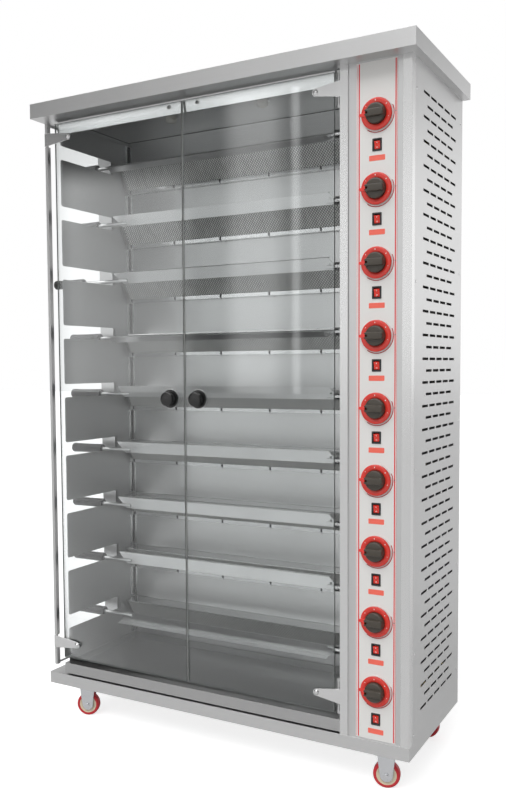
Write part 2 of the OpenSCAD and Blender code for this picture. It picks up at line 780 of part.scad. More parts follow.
module drip_tray() color(steel) cabinet() {
    x0 = wall_face + tray_side_gap;
    x1 = drive_x - tray_side_gap;
    t = sheet_t;
    difference() {
        block([x0, wall_y, tray_z], [x1, back_wall_y - tray_back_gap, tray_top]);
        block([x0 + t, wall_y + t, tray_z + t], [x1 - t, back_wall_y - tray_back_gap - t, tray_top + past]);
    }
    difference() {
        block([x0, tray_front, tray_top - tray_lip_h], [x1, wall_y, tray_top]);
        block([x0 + t, tray_front + t, tray_top - tray_lip_h - past], [x1 - t, wall_y + past, tray_top - t]);
    }
}

// Spit: shaft and blade, the handle on its left end, and the drive socket on its right end
handle_end = 20;
handle_edge = 4;
weld_l = 20;
tang_s = 10;
tang_l = 40;
socket_gap = 4;
shoulder_l = 1.5;
hole_inset = 9;
spit_hole_r = 3.5;
blade_slant = 33;
blade_cut = 17;

module spit(i) cabinet() translate([0, spit_y, axis_z(i)]) {
    turn = [spit_turns[i - 1], 0, 0];
    h0 = handle_left - (i == long_tier ? long_spit_extra : 0);
    blade_0 = wall_face + blade_gap;
    socket_0 = drive_x - socket_len;
    socket_1 = drive_x + sheet_t + shoulder_l;
    blade_1 = socket_0 - socket_gap;
    low = blade_rise - blade_w;
    r = handle_d / 2;
    room = tang_s / 2 + seat_gap;
    half = blade_t / 2;
    color(bright) rotate(turn) {
        rod_x(h0 + handle_end - past, blade_0 + blade_slant + weld_l, 0, 0, shaft_d / 2);
        difference() {
            along_x(blade_0, blade_1) polygon([[-half, low], [half, low], [half, blade_rise - blade_t],
                [blade_leg - half, blade_rise - blade_t], [blade_leg - half, blade_rise], [-half, blade_rise]]);
            along_y(-half - past, half + past) polygon([[blade_0 - past, low + blade_slant + past],
                [blade_0 + blade_slant + past, low - past], [blade_0 - past, low - past]]);
            along_y(-half - past, blade_leg + past) polygon([[blade_1 - blade_cut - past, blade_rise + past],
                [blade_1 + past, blade_rise - blade_cut - past], [blade_1 + past, blade_rise + past]]);
            rod_y(-half - past, half + past, blade_1 - hole_inset, blade_rise - blade_w / 2, spit_hole_r);
        }
        block([blade_1 - weld_l, -tang_s / 2, -tang_s / 2], [blade_1 + tang_l, tang_s / 2, tang_s / 2]);
    }
    color(black) difference() {
        translate([h0, 0, 0]) rotate([0, 90, 0]) rotate_extrude() polygon([[0, 0], [r - handle_edge, 0],
            [r, handle_edge], [r, handle_len - handle_edge], [r - handle_edge, handle_len], [0, handle_len]]);
        rod_x(h0 + handle_end, h0 + handle_len + past, 0, 0, shaft_d / 2 + run_gap);
    }
    color(steel) {
        difference() {
            rod_x(socket_0, socket_1, 0, 0, socket_d / 2);
            rotate(turn) block([socket_0 - past, -room, -room], [blade_1 + tang_l + past, room, room]);
        }
        rod_x(socket_1 - join, drive_x + sheet_t + flange_t + stub_l, 0, 0, stub_r);
    }
}

// Casters: the fork swivels on the kingpin and the wheel turns on the fork's axle
fork_t = 3;
cheek_gap = 1.5;
cheek_top = 46;
cheek_front = 3;
cheek_r = 18;
hub_r = 12;
axle_r = 4;
axle_head_r = 8;
axle_head_l = 4;
axle_z = wheel_d / 2 - caster_h;
rim_w = 3;
tyre_h = 10;
tyre_edge = 4;

module caster_at(i) cabinet() translate([caster_x(i), caster_y(i), 0])
    rotate([0, 0, caster_turns[i - 1]]) children();

module caster_fork(i) color("lightsteelblue") caster_at(i) {
    half = wheel_w / 2 + cheek_gap;
    out = half + fork_t;
    z0 = fork_crown_z - fork_t;
    difference() {
        union() {
            translate([0, 0, z0]) cylinder(h = fork_t, r = race_r);
            block([0, -out, z0], [trail, out, fork_crown_z]);
            along_y(-out, out) {
                polygon([[-cheek_front, fork_crown_z], [cheek_top, fork_crown_z],
                    [trail + cheek_r, axle_z], [trail - cheek_r, axle_z]]);
                translate([trail, axle_z]) circle(cheek_r);
            }
        }
        translate([0, 0, z0 - past]) cylinder(h = fork_t + 2 * past, r = kingpin_r + run_gap);
        block([-race_r, -half, axle_z - cheek_r - past], [trail + wheel_d, half, z0]);
    }
    rod_y(-out, out, trail, axle_z, axle_r);
    for (y = [-out - axle_head_l, out]) rod_y(y, y + axle_head_l, trail, axle_z, axle_head_r);
}

module caster_wheel(i) color(red) caster_at(i) translate([trail, 0, axle_z]) rotate([90, 0, 0]) {
    r = wheel_d / 2;
    w = wheel_w / 2;
    bore = axle_r + run_gap;
    rotate_extrude() polygon([[bore, -w - past], [hub_r, -w - past], [hub_r, rim_w - w],
        [r - tyre_h, rim_w - w], [r - tyre_h, -w], [r - tyre_edge, -w], [r, tyre_edge - w],
        [r, w - tyre_edge], [r - tyre_edge, w], [r - tyre_h, w], [r - tyre_h, w - rim_w], [hub_r, w - rim_w],
        [hub_r, w + past], [bore, w + past]]);
}

base_frame();
top_cap();
ceiling_panel();
slotted_wall();
drive_wall();
back_wall();
rear_cover();
left_frame();
wall_brackets();
top_rail();
column_posts();
control_panel();
fascia_plate();
dial_trim();
side_panel();
burner_housings();
burner_meshes();
gear_motors();
gas_manifold();
interior_lamps();
door_glass_left();
door_fittings_left();
door_glass_right();
door_fittings_right();
drip_tray();
for (i = [1:tiers]) {
    spit(i);
    knob(i);
    rocker(i);
}
for (i = [1:4]) {
    caster_fork(i);
    caster_wheel(i);
}
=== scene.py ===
import json
import math
import bpy
import bmesh
from mathutils import Matrix, Vector
from mathutils.geometry import tessellate_polygon


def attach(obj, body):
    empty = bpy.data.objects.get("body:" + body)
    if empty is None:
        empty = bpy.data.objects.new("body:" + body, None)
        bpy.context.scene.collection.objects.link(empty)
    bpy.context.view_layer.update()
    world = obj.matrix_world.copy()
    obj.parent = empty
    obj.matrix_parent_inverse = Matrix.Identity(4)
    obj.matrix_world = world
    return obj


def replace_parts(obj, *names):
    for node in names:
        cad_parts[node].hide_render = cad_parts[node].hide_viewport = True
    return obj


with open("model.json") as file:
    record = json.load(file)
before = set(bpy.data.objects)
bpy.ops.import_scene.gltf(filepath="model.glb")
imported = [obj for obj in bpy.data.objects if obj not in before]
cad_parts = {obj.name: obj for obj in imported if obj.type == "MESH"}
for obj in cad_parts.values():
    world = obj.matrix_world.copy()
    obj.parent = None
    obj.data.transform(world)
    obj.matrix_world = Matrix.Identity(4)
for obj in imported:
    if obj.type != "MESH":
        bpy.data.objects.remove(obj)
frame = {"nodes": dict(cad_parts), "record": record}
scene = bpy.context.scene


def note_size():
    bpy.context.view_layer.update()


note_size()

# Cabinet coordinates: millimetres from the left front corner of the base's underside, x to the right,
# y to the back, z up. The row frame has its origin on the floor under the middle.
MID_X, MID_Y, UP = 561.0, 219.5, 108.0
TIERS, PITCH, FIRST = 9, 193.8, 191.0             # spits from below, their spacing, height of the first axis
WALL, DRIVE, BODY_W = 58.0, 1047.0, 1246.0        # inner faces of the cavity, right face of the side panel
CAP_Z = 1854.0                                    # underside of the cap
SPIT_Y, BACK_Y = 235.0, 405.0                     # spit axes, front of the back wall
STATION_X, KNOB_DROP, STATION_LESS = 1150.5, 14.4, 1.8
SEAM, KNOB_OFF = 531.5, 50.0                      # joint of the two leaves, door knobs from it


def at(x, y, z):
    return Vector(((x - MID_X) / 1000, (y - MID_Y) / 1000, (z + UP) / 1000))


def axis_z(i):
    return FIRST + (i - 1) * PITCH


def knob_z(i):
    return axis_z(i) - KNOB_DROP - (i - 1) * STATION_LESS


# Materials
BEVEL_R, BEVEL_SAMPLES = 0.0006, 4                # rounded look of sheet edges, in metres
BRUSH_DARK, BRUSH_DEPTH = 0.94, 0.0004            # darker strokes of the brushing and their depth
GLASS_IOR, GLASS_ROUGH = 1.45, 0.02


def node_tree(name):
    m = bpy.data.materials.new(name)
    m.use_nodes = True
    t = m.node_tree
    t.nodes.clear()
    return m, t, t.nodes.new("ShaderNodeOutputMaterial")


def principled(name):
    m, t, out = node_tree(name)
    b = t.nodes.new("ShaderNodeBsdfPrincipled")
    t.links.new(b.outputs[0], out.inputs[0])
    return m, t, b


def math_node(t, operation, a, b=0.0):
    n = t.nodes.new("ShaderNodeMath")
    n.operation = operation
    for k, v in enumerate((a, b)):
        if isinstance(v, (int, float)):
            n.inputs[k].default_value = v
        else:
            t.links.new(v, n.inputs[k])
    return n.outputs[0]


def noise(t, source, scale, detail):
    n = t.nodes.new("ShaderNodeTexNoise")
    n.inputs["Scale"].default_value = scale
    n.inputs["Detail"].default_value = detail
    t.links.new(source, n.inputs["Vector"])
    return n.outputs[0]


def stretched(t, co, scale):
    n = t.nodes.new("ShaderNodeMapping")
    n.inputs["Scale"].default_value = scale
    t.links.new(co.outputs["Object"], n.inputs[0])
    return n.outputs[0]


def color_mix(t, factor, low, high):
    n = t.nodes.new("ShaderNodeMix")
    n.data_type = "RGBA"
    n.inputs[6].default_value = (*low, 1)
    n.inputs[7].default_value = (*high, 1)
    t.links.new(factor, n.inputs[0])
    return n.outputs[2]


def plain(name, color, rough=0.4, metal=0.0, coat=0.0):
    m, _, b = principled(name)
    b.inputs["Base Color"].default_value = (*color, 1)
    b.inputs["Roughness"].default_value = rough
    b.inputs["Metallic"].default_value = metal
    b.inputs["Coat Weight"].default_value = coat
    return m


def brushed(name, color, rough, stretch, strength=0.06, variation=0.05, grain=0.0, turn=0.0):
    """Stainless sheet: fine strokes along the axis with the small stretch, uneven roughness, soft edges."""
    m, t, b = principled(name)
    b.inputs["Metallic"].default_value = 1.0
    b.inputs["Anisotropic"].default_value = grain
    b.inputs["Anisotropic Rotation"].default_value = turn
    tangent = t.nodes.new("ShaderNodeTangent")
    tangent.direction_type, tangent.axis = "RADIAL", "Z"
    t.links.new(tangent.outputs[0], b.inputs["Tangent"])
    co = t.nodes.new("ShaderNodeTexCoord")
    fine = noise(t, stretched(t, co, stretch), 1.0, 4.0)
    wide = noise(t, co.outputs["Object"], 2.2, 2.0)
    ramp = t.nodes.new("ShaderNodeMapRange")
    ramp.inputs["To Min"].default_value = rough - variation
    ramp.inputs["To Max"].default_value = rough + variation
    t.links.new(wide, ramp.inputs["Value"])
    t.links.new(ramp.outputs[0], b.inputs["Roughness"])
    t.links.new(color_mix(t, fine, [c * BRUSH_DARK for c in color], color), b.inputs["Base Color"])
    bump = t.nodes.new("ShaderNodeBump")
    bump.inputs["Strength"].default_value = strength
    bump.inputs["Distance"].default_value = BRUSH_DEPTH
    t.links.new(fine, bump.inputs["Height"])
    bevel = t.nodes.new("ShaderNodeBevel")
    bevel.samples = BEVEL_SAMPLES
    bevel.inputs["Radius"].default_value = BEVEL_R
    t.links.new(bevel.outputs[0], bump.inputs["Normal"])
    t.links.new(bump.outputs[0], b.inputs["Normal"])
    return m


def woven(name, pitch, low, high):
    """Wire cloth: bright crossings over dark holes, with uneven streaks."""
    contrast, uneven, middle = 0.95, 0.7, 0.55
    m, t, b = principled(name)
    b.inputs["Roughness"].default_value = 0.55
    b.inputs["Metallic"].default_value = 0.35
    co = t.nodes.new("ShaderNodeTexCoord")
    xyz = t.nodes.new("ShaderNodeSeparateXYZ")
    t.links.new(co.outputs["Object"], xyz.inputs[0])
    per_metre = 2 * math.pi / pitch
    waves = [math_node(t, "SINE", math_node(t, "MULTIPLY", xyz.outputs[k], per_metre)) for k in (0, 2)]
    cloth = math_node(t, "MULTIPLY", math_node(t, "MULTIPLY", *waves), contrast)
    streak = noise(t, stretched(t, co, (120, 10, 40)), 1.0, 3.0)
    streak = math_node(t, "MULTIPLY", math_node(t, "SUBTRACT", streak, 0.5), uneven)
    clamp = t.nodes.new("ShaderNodeClamp")
    t.links.new(math_node(t, "ADD", cloth, math_node(t, "ADD", streak, middle)), clamp.inputs[0])
    t.links.new(color_mix(t, clamp.outputs[0], low, high), b.inputs["Base Color"])
    return m


def clear_glass(name, tint):
    m, t, out = node_tree(name)
    trans = t.nodes.new("ShaderNodeBsdfTransparent")
    trans.inputs[0].default_value = (*tint, 1)
    shine = t.nodes.new("ShaderNodeBsdfGlossy")
    shine.inputs["Roughness"].default_value = GLASS_ROUGH
    shine.inputs["Color"].default_value = (1, 1, 1, 1)
    fres = t.nodes.new("ShaderNodeFresnel")
    fres.inputs[0].default_value = GLASS_IOR
    mix = t.nodes.new("ShaderNodeMixShader")
    t.links.new(fres.outputs[0], mix.inputs[0])
    t.links.new(trans.outputs[0], mix.inputs[1])
    t.links.new(shine.outputs[0], mix.inputs[2])
    t.links.new(mix.outputs[0], out.inputs[0])
    return m


def grey(v):
    return v, v, v


ALONG_X, ALONG_Z = (3, 400, 400), (400, 400, 3)   # stretch of the strokes
COARSE_X = (3, 300, 300)
CROSS = 0.25                                      # turns the highlight across strokes that run along x
# steel_in, wall and rail are the same brushed stainless as steel_x with lighter base tones: painted light that
# lifts the inside of the cavity, the slotted wall and the top rail
M = {
    "steel_x": brushed("brushed_along_x", grey(0.62), 0.32, ALONG_X, grain=0.25, turn=CROSS),
    "steel_z": brushed("brushed_along_z", grey(0.62), 0.32, ALONG_Z, grain=0.2),
    "steel_in": brushed("brushed_inside_painted_light", grey(0.74), 0.36, ALONG_X, grain=0.2, turn=CROSS),
    "wall": brushed("brushed_wall_painted_light", grey(0.66), 0.36, ALONG_Z, grain=0.25),
    "tray": brushed("brushed_tray", grey(0.44), 0.30, ALONG_X, grain=0.6, turn=CROSS),
    "rail": brushed("rail_stainless_painted_light", grey(0.86), 0.22, COARSE_X, 0.05, 0.06, grain=0.4, turn=CROSS),
    "bright": brushed("bright_stainless", grey(0.72), 0.20, (300, 300, 4), 0.03, 0.03, grain=0.15),
    "white": plain("white_fascia", (0.80, 0.79, 0.77), 0.35),
    "red": plain("red_plastic", (0.72, 0.035, 0.022), 0.28, coat=0.2),
    "mesh": woven("burner_mesh", 0.0092, grey(0.24), (0.98, 0.98, 0.96)),
    "motor": plain("motor_grey", (0.16, 0.17, 0.18), 0.5),
    "brass": plain("brass", (0.60, 0.46, 0.20), 0.3, 1.0),
    "lamp": plain("lamp_glass", (0.92, 0.90, 0.84), 0.25),
    "glass": clear_glass("door_glass", (0.95, 0.96, 0.96)),
    "zinc": plain("zinc_steel", (0.62, 0.63, 0.65), 0.25, 1.0),
    "wheel": plain("wheel_red", (0.60, 0.02, 0.03), 0.35),
    "handle": plain("handle_black", grey(0.022), 0.38),
    "blade": brushed("blade_stainless", grey(0.78), 0.30, COARSE_X, 0.03, 0.04),
    "hub": plain("hub_dark", (0.062, 0.052, 0.040), 0.34),
    "pointer": plain("pointer_red", (0.80, 0.05, 0.04), 0.3),
    "mark": plain("mark_white", (0.85, 0.84, 0.80)),
    "bezel": plain("bezel_ring", (0.80, 0.78, 0.76), 0.3),
    "print_red": plain("printed_ring", (0.45, 0.012, 0.02)),
    "black": plain("black_plastic", (0.015, 0.015, 0.016), 0.35),
    "label": plain("label_red", (0.95, 0.16, 0.11), 0.45),
    "switch_red": plain("switch_red", (0.78, 0.03, 0.015), 0.22, coat=0.3),
    "line_red": plain("line_red", (0.74, 0.035, 0.04), 0.45),
    "knob_black": plain("knob_black", grey(0.014), 0.24),
    "glass_edge": plain("glass_edge", (0.30, 0.32, 0.31), 0.3),
    # painted highlight: light grey for the shining glass edges at the seam
    "seam": plain("seam_painted_highlight", (0.62, 0.63, 0.62), 0.25),
    # painted shade: near-black for the shadow beside the burner clips, the shaded corner and ceiling strips and
    # the recessed catch cores
    "shadow": plain("painted_shade_dark", grey(0.03), 0.6),
    "rim": plain("rim_cream", (0.74, 0.66, 0.48)),
    "hub_metal": plain("hub_metal", (0.55, 0.56, 0.58), 0.3, 1.0),
}
BY_SLOT = {"polished_stainless": "bright", "white_fascia": "white", "red_plastic": "red",
           "burner_mesh": "mesh", "motor_grey": "motor", "brass": "brass", "lamp_glass": "lamp",
           "door_glass": "glass", "zinc_steel": "zinc", "wheel_red": "wheel"}
BY_NODE = {"base_frame": "steel_x", "top_cap": "steel_x", "ceiling_panel": "steel_in",
           "back_wall": "steel_in", "top_rail": "rail", "slotted_wall": "wall", "drip_tray": "tray"}
slots = {s["node"]: s["material_slot"] for s in frame["record"]["subparts"]}
for name, obj in frame["nodes"].items():
    key = BY_NODE.get(name) or BY_SLOT.get(slots[name], "steel_z")
    obj.data.materials.clear()
    obj.data.materials.append(M[key])


# Shapes are gathered in cabinet millimetres and written in the row frame
def circle(r, steps, x=0.0, y=0.0):
    """Anticlockwise points on a circle round (x, y)."""
    return [(x + r * math.cos(2 * math.pi * k / steps), y + r * math.sin(2 * math.pi * k / steps))
            for k in range(steps)]


def arc(x, y, r, first, step, count):
    """Points on an arc round (x, y): first angle and step in degrees."""
    angles = [math.radians(first + step * k) for k in range(count)]
    return [(x + r * math.cos(a), y + r * math.sin(a)) for a in angles]


class Shape:
    def __init__(self):
        self.v, self.f = [], []

    def add(self, verts, faces, m=None):
        n = len(self.v)
        for p in verts:
            q = m @ Vector(p) if m else Vector(p)
            self.v.append(at(q.x, q.y, q.z))
        self.f += [tuple(n + k for k in face) for face in faces]
        return self

    def lathe(self, profile, m=None, steps=40):
        """Turns (radius, height) points about the local Z axis."""
        verts, rings = [], []
        for r, z in profile:
            if r < 1e-6:
                rings.append([len(verts)] * steps)
                verts.append((0, 0, z))
            else:
                rings.append(list(range(len(verts), len(verts) + steps)))
                verts += [(x, y, z) for x, y in circle(r, steps)]
        faces = []
        for a, b in zip(rings, rings[1:]):
            for k in range(steps):
                j = (k + 1) % steps
                quad = [a[k], a[j], b[j], b[k]]
                face = [q for n, q in enumerate(quad) if q not in quad[:n]]
                if len(face) > 2:
                    faces.append(face)
        return self.add(verts, faces, m)

    def loft(self, rings, m=None, cap=True):
        """Joins closed rings that have the same number of points."""
        n = len(rings[0])
        verts = [p for ring in rings for p in ring]
        faces = []
        for s in range(len(rings) - 1):
            for k in range(n):
                j = (k + 1) % n
                faces.append([s * n + k, s * n + j, (s + 1) * n + j, (s + 1) * n + k])
        if cap:
            faces.append(list(range(n))[::-1])
            faces.append([(len(rings) - 1) * n + k for k in range(n)])
        return self.add(verts, faces, m)

    def slab(self, outline, z0, z1, m=None, edge=0.4):
        """Flat plate with a small chamfer round both faces; the outline runs anticlockwise."""
        small = inset(outline, edge)
        rings = [[(x, y, z0) for x, y in small], [(x, y, z0 + edge) for x, y in outline],
                 [(x, y, z1 - edge) for x, y in outline], [(x, y, z1) for x, y in small]]
        return self.loft(rings, m)

    def plate(self, outline, hole, z0, z1, m=None, edge=0.3):
        """Slab with a hole; outline and hole run anticlockwise."""
        loops = [(outline, edge), (hole, -edge)]
        small = [inset(o, e) for o, e in loops]
        flat = [p for loop in small for p in loop]
        tris = tessellate_polygon([[Vector((x, y, 0)) for x, y in loop] for loop in small])
        self.add([(x, y, z0) for x, y in flat], [t[::-1] for t in tris], m)
        self.add([(x, y, z1) for x, y in flat], list(tris), m)
        for (full, e), part in zip(loops, small):
            levels = ((part, z0), (full, z0 + abs(e)), (full, z1 - abs(e)), (part, z1))
            self.loft([[(x, y, z) for x, y in ring] for ring, z in levels], m, cap=False)
        return self

    def block(self, a, b, m=None, edge=0.4):
        """Chamfered box between two corners."""
        return self.slab([(a[0], a[1]), (b[0], a[1]), (b[0], b[1]), (a[0], b[1])], a[2], b[2], m, edge)

    def done(self, name, mat, slot_name, body="cabinet"):
        """Makes the object, gives it its look and lets it ride on its body."""
        me = bpy.data.meshes.new(name)
        me.from_pydata([tuple(p) for p in self.v], [], self.f)
        bm = bmesh.new()
        bm.from_mesh(me)
        bmesh.ops.remove_doubles(bm, verts=bm.verts, dist=1e-6)
        bmesh.ops.recalc_face_normals(bm, faces=bm.faces)
        bm.to_mesh(me)
        bm.free()
        me.materials.append(M[mat])
        me.polygons.foreach_set("use_smooth", [True] * len(me.polygons))
        me.set_sharp_from_angle(angle=math.radians(35))
        ob = bpy.data.objects.new(name, me)
        scene.collection.objects.link(ob)
        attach(ob, body)
        return ob


def inset(outline, d):
    """Moves each side of an anticlockwise outline inwards by d."""
    out, n = [], len(outline)
    for k in range(n):
        p0, p1, p2 = Vector(outline[k - 1]), Vector(outline[k]), Vector(outline[(k + 1) % n])
        a, b = (p1 - p0).normalized(), (p2 - p1).normalized()
        na, nb = Vector((-a.y, a.x)), Vector((-b.y, b.x))
        s = 1 + na.dot(nb)
        q = p1 + (na + nb) * (d / s if s > 0.2 else d)
        out.append((q.x, q.y))
    return out


def round_box(w, h, r, steps=5):
    """Anticlockwise outline of a rectangle with rounded corners, centred on the origin."""
    x, y = w / 2 - r, h / 2 - r
    corners = ((x, y, 0), (-x, y, 90), (-x, -y, 180), (x, -y, 270))
    return [p for cx, cy, a0 in corners for p in arc(cx, cy, r, a0, 90 / steps, steps + 1)]


def ring(r0, r1, z0, z1, edge=0.1):
    """Profile of a flat ring with chamfered upper edges."""
    return [(r0, z0), (r1, z0), (r1, z1 - edge), (r1 - edge, z1), (r0 + edge, z1), (r0, z1 - edge), (r0, z0)]


def front(x, y, z):
    """Local X to the right, local Y up, local Z towards the front."""
    return Matrix(((1, 0, 0, x), (0, 0, -1, y), (0, 1, 0, z), (0, 0, 0, 1)))


def side(x, y, z):
    """Local X to the back, local Y up, local Z to the right."""
    return Matrix(((0, 0, 1, x), (1, 0, 0, y), (0, 1, 0, z), (0, 0, 0, 1)))


def moved(x, y, z):
    return Matrix.Translation((x, y, z))


def turned(degrees, axis):
    return Matrix.Rotation(math.radians(degrees), 4, axis)


FACING = front(0, 0, 0)

# Spits: along each axis, x in cabinet millimetres
TURNS = (192, -6, -2, 3, -14, 125, 14, 12, 140)   # rest angles from below, read off the photo
HANDLE_X, HANDLE_L = -77.0, 130.0
PULLED, PULL = 7, 70.0                            # the spit that is pulled out to the left, and how far
BLADE_0, BLADE_1 = 118.0, 930.0
SOCKET_0, SOCKET_1 = 934.0, DRIVE + 1.4
SOCKET_SCREW = [(0, 0), (3.2, 0), (3.2, 2.4), (2.6, 3), (1.5, 3), (1.5, 1.6), (0, 1.6)]
SCREW_TURN = 8                                    # socket screw from the blade, in degrees


def spit(i):
    body, z, turn = f"spit_body_{i}", axis_z(i), TURNS[i - 1]
    h0 = HANDLE_X - (PULL if i == PULLED else 0)
    h1 = h0 + HANDLE_L
    m = side(0, SPIT_Y, z)
    handle = [(0, h0), (9.6, h0), (13.2, h0 + 0.9), (15.3, h0 + 3), (16, h0 + 7), (15.3, h0 + 30),
              (15.3, h0 + 85), (16, h1 - 9), (15.8, h1 - 3.4), (14.1, h1 - 0.9), (11.6, h1), (8.2, h1),
              (8.2, h1 - 3), (0, h1 - 3)]
    Shape().lathe(handle, m, 36).done(f"spit_handle_{i}", "handle", "polished_stainless", body)
    shaft = [(0, h1 - 3), (6, h1 - 3), (6, BLADE_0 + 50), (4.8, BLADE_0 + 54), (0, BLADE_0 + 55)]
    blade = [(BLADE_0 + 34, -10), (BLADE_1, -10), (BLADE_1, 11), (BLADE_1 - 17, 28), (BLADE_0, 28),
             (BLADE_0, 24)]
    hole = circle(3.5, 16, BLADE_1 - 9, 9)
    flat = moved(0, SPIT_Y, z) @ turned(turn, "X") @ FACING
    s = Shape().lathe(shaft, m, 24)
    s.plate(blade, hole, -1, 1, flat)
    s.block((BLADE_0 + 0.3, 26.1, -20.9), (BLADE_1 - 17.4, 27.9, 0.9), flat, 0.3)
    s.block((BLADE_1 - 20, -4.9, -4.9), (SOCKET_0 + 6, 4.9, 4.9), flat, 0.8)
    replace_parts(s.done(f"spit_blade_{i}", "blade", "polished_stainless", body), f"spit_{i}")
    socket = [(5.2, SOCKET_0), (11.6, SOCKET_0), (13, SOCKET_0 + 1.4), (13, SOCKET_0 + 96),
              (11.8, SOCKET_0 + 97), (11.8, SOCKET_0 + 101), (13, SOCKET_0 + 102), (13, SOCKET_1),
              (5, SOCKET_1), (5, SOCKET_1 + 18), (0, SOCKET_1 + 18)]
    at_screw = moved(SOCKET_0 + 14, SPIT_Y, z) @ turned(turn + SCREW_TURN, "X") @ front(0, -11.8, 0)
    s = Shape().lathe(socket, m, 36).lathe(SOCKET_SCREW, at_screw, 16)
    s.done(f"spit_socket_{i}", "bright", "polished_stainless", body)


# Stations: knob, bezel, switch and label
FASCIA_Y, SWITCH_DROP, LABEL_DROP = 3.2, 78.0, 112.0
SKIRT = [(4.2, 0.2), (40.6, 0.2), (41.7, 0.8), (42, 2), (42, 3.4), (41.3, 4.8), (39.8, 5.7), (37, 6),
         (30.5, 6), (28.6, 5.2), (27.2, 4.2), (27.2, 3), (4.2, 3)]
HUB = [(4.2, 2.6), (26.9, 2.6), (26.9, 12.5), (26.2, 14.6), (24.6, 15.8), (22, 16.2), (0, 16.2)]
GRIP_R, GRIP_HALF, GRIP_Z, GRIP_TAPER = 26.6, 10.5, 12, 0.10
# Grip bar: height, share of the radius, taken off the half width
GRIP_RINGS = ((GRIP_Z, 1.0, 0), (22, 0.975, 0), (25.4, 0.955, 0.3), (26.7, 0.9, 1.1), (27, 0.84, 2.0))
POINTER = [(-47.6, -1.2), (-42, -4.4), (-25.4, -4.6), (-25.4, 4.6), (-42, 4.4), (-47.6, 1.2)]
POINTER_TOP = [(-26.2, -4.2), (-15.5, -2.6), (-15.5, 2.6), (-26.2, 4.2)]
# Marks on the skirt: clock angle, radius, width, length
MARKS = ((-3, 35, 2.0, 3.6), (52, 35.5, 2.2, 3.2), (-52, 35.5, 1.6, 2.2), (108, 35.5, 1.6, 1.8))
# Printed arc at the lower right of each dial: radii, first angle and step in degrees, steps
PRINT_R0, PRINT_R1, PRINT_FROM, PRINT_STEP, PRINT_COUNT = 44.9, 47.3, 25, -5, 30
SWITCH_HALF_W, SWITCH_HALF_H, SWITCH_SHEET, ROCKER_TILT = 11, 14, 1.4, 9


def clock_place(r, clock):
    """Point at a radius and at an angle clockwise from the top."""
    a = math.radians(clock)
    return r * math.sin(a), r * math.cos(a)


def limited(v, limit):
    return max(-limit, min(limit, v))


def knob(i):
    body = f"knob_body_{i}"
    m = front(STATION_X, 0, knob_z(i))
    skirt = Shape().lathe(SKIRT, m, 72)
    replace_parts(skirt.done(f"knob_skirt_{i}", "red", "red_plastic", body), f"knob_{i}")
    rings = []
    for z, share, less in GRIP_RINGS:
        half = (GRIP_HALF - (z - GRIP_Z) * GRIP_TAPER) - less
        rings.append([(limited(x, GRIP_R), limited(y, half), z) for x, y in circle(GRIP_R * share, 24)])
    Shape().lathe(HUB, m, 56).loft(rings, m).done(f"knob_hub_{i}", "hub", "red_plastic", body)
    s = Shape().slab(POINTER, 4.0, 8.2, m, 0.5).slab(POINTER_TOP, 24.9, 27, m, 0.3)
    s.block((-27.0, -4.2, 7.4), (-25.6, 4.2, 26.6), m, 0.3)
    s.done(f"knob_pointer_{i}", "pointer", "red_plastic", body)
    s = Shape()
    for clock, r, w, l in MARKS:
        t = m @ moved(*clock_place(r, clock), 0) @ turned(-clock, "Z")
        s.block((-w / 2, -l / 2, 5.6), (w / 2, l / 2, 6.15), t, 0.06)
    s.done(f"knob_marks_{i}", "mark", "red_plastic", body)


def stations():
    bezel, printed, frames, labels, dots = Shape(), Shape(), Shape(), Shape(), Shape()
    w, h, t = SWITCH_HALF_W, SWITCH_HALF_H, SWITCH_SHEET
    for i in range(1, TIERS + 1):
        m = front(STATION_X, FASCIA_Y, knob_z(i))
        bezel.lathe(ring(39, 44, 0, 2, 0.5), m, 64)
        for k in range(PRINT_COUNT):
            start = PRINT_FROM + PRINT_STEP * k
            (a, b), (d, c) = (arc(0, 0, r, start, PRINT_STEP, 2) for r in (PRINT_R0, PRINT_R1))
            printed.slab([a, b, c, d], 0, 0.12, m, 0.02)
        dots.lathe([(0, 0), (1.5, 0), (1.5, 0.1), (1.4, 0.14), (0, 0.14)],
                   m @ moved(*clock_place(50.5, 88), 0), 16)
        m = front(STATION_X, FASCIA_Y, knob_z(i) - SWITCH_DROP)
        frames.plate(round_box(26, 33, 1.6), round_box(17, 25, 1, 2), 0, 2, m, 0.5)
        for x0, x1, y0, y1 in ((-w, -8.6, -h, h), (8.6, w, -h, h), (-8.6, 8.6, h - t, h),
                               (-8.6, 8.6, -h, t - h)):
            frames.block((x0, y0, -21), (x1, y1, 0.4), m, 0.1)
        frames.block((-w, -h, -22), (w, h, -20.9), m, 0.2)
        m = front(STATION_X, FASCIA_Y, knob_z(i) - LABEL_DROP)
        labels.slab(round_box(44, 14, 2), 0, 0.55, m, 0.12)
    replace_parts(bezel.done("bezel_rings", "bezel", "polished_stainless"), "dial_trim")
    printed.done("printed_rings", "print_red", "red_plastic")
    frames.done("switch_frames", "black", "red_plastic")
    labels.done("label_plates", "label", "red_plastic")
    dots.done("dial_dots", "black", "red_plastic")


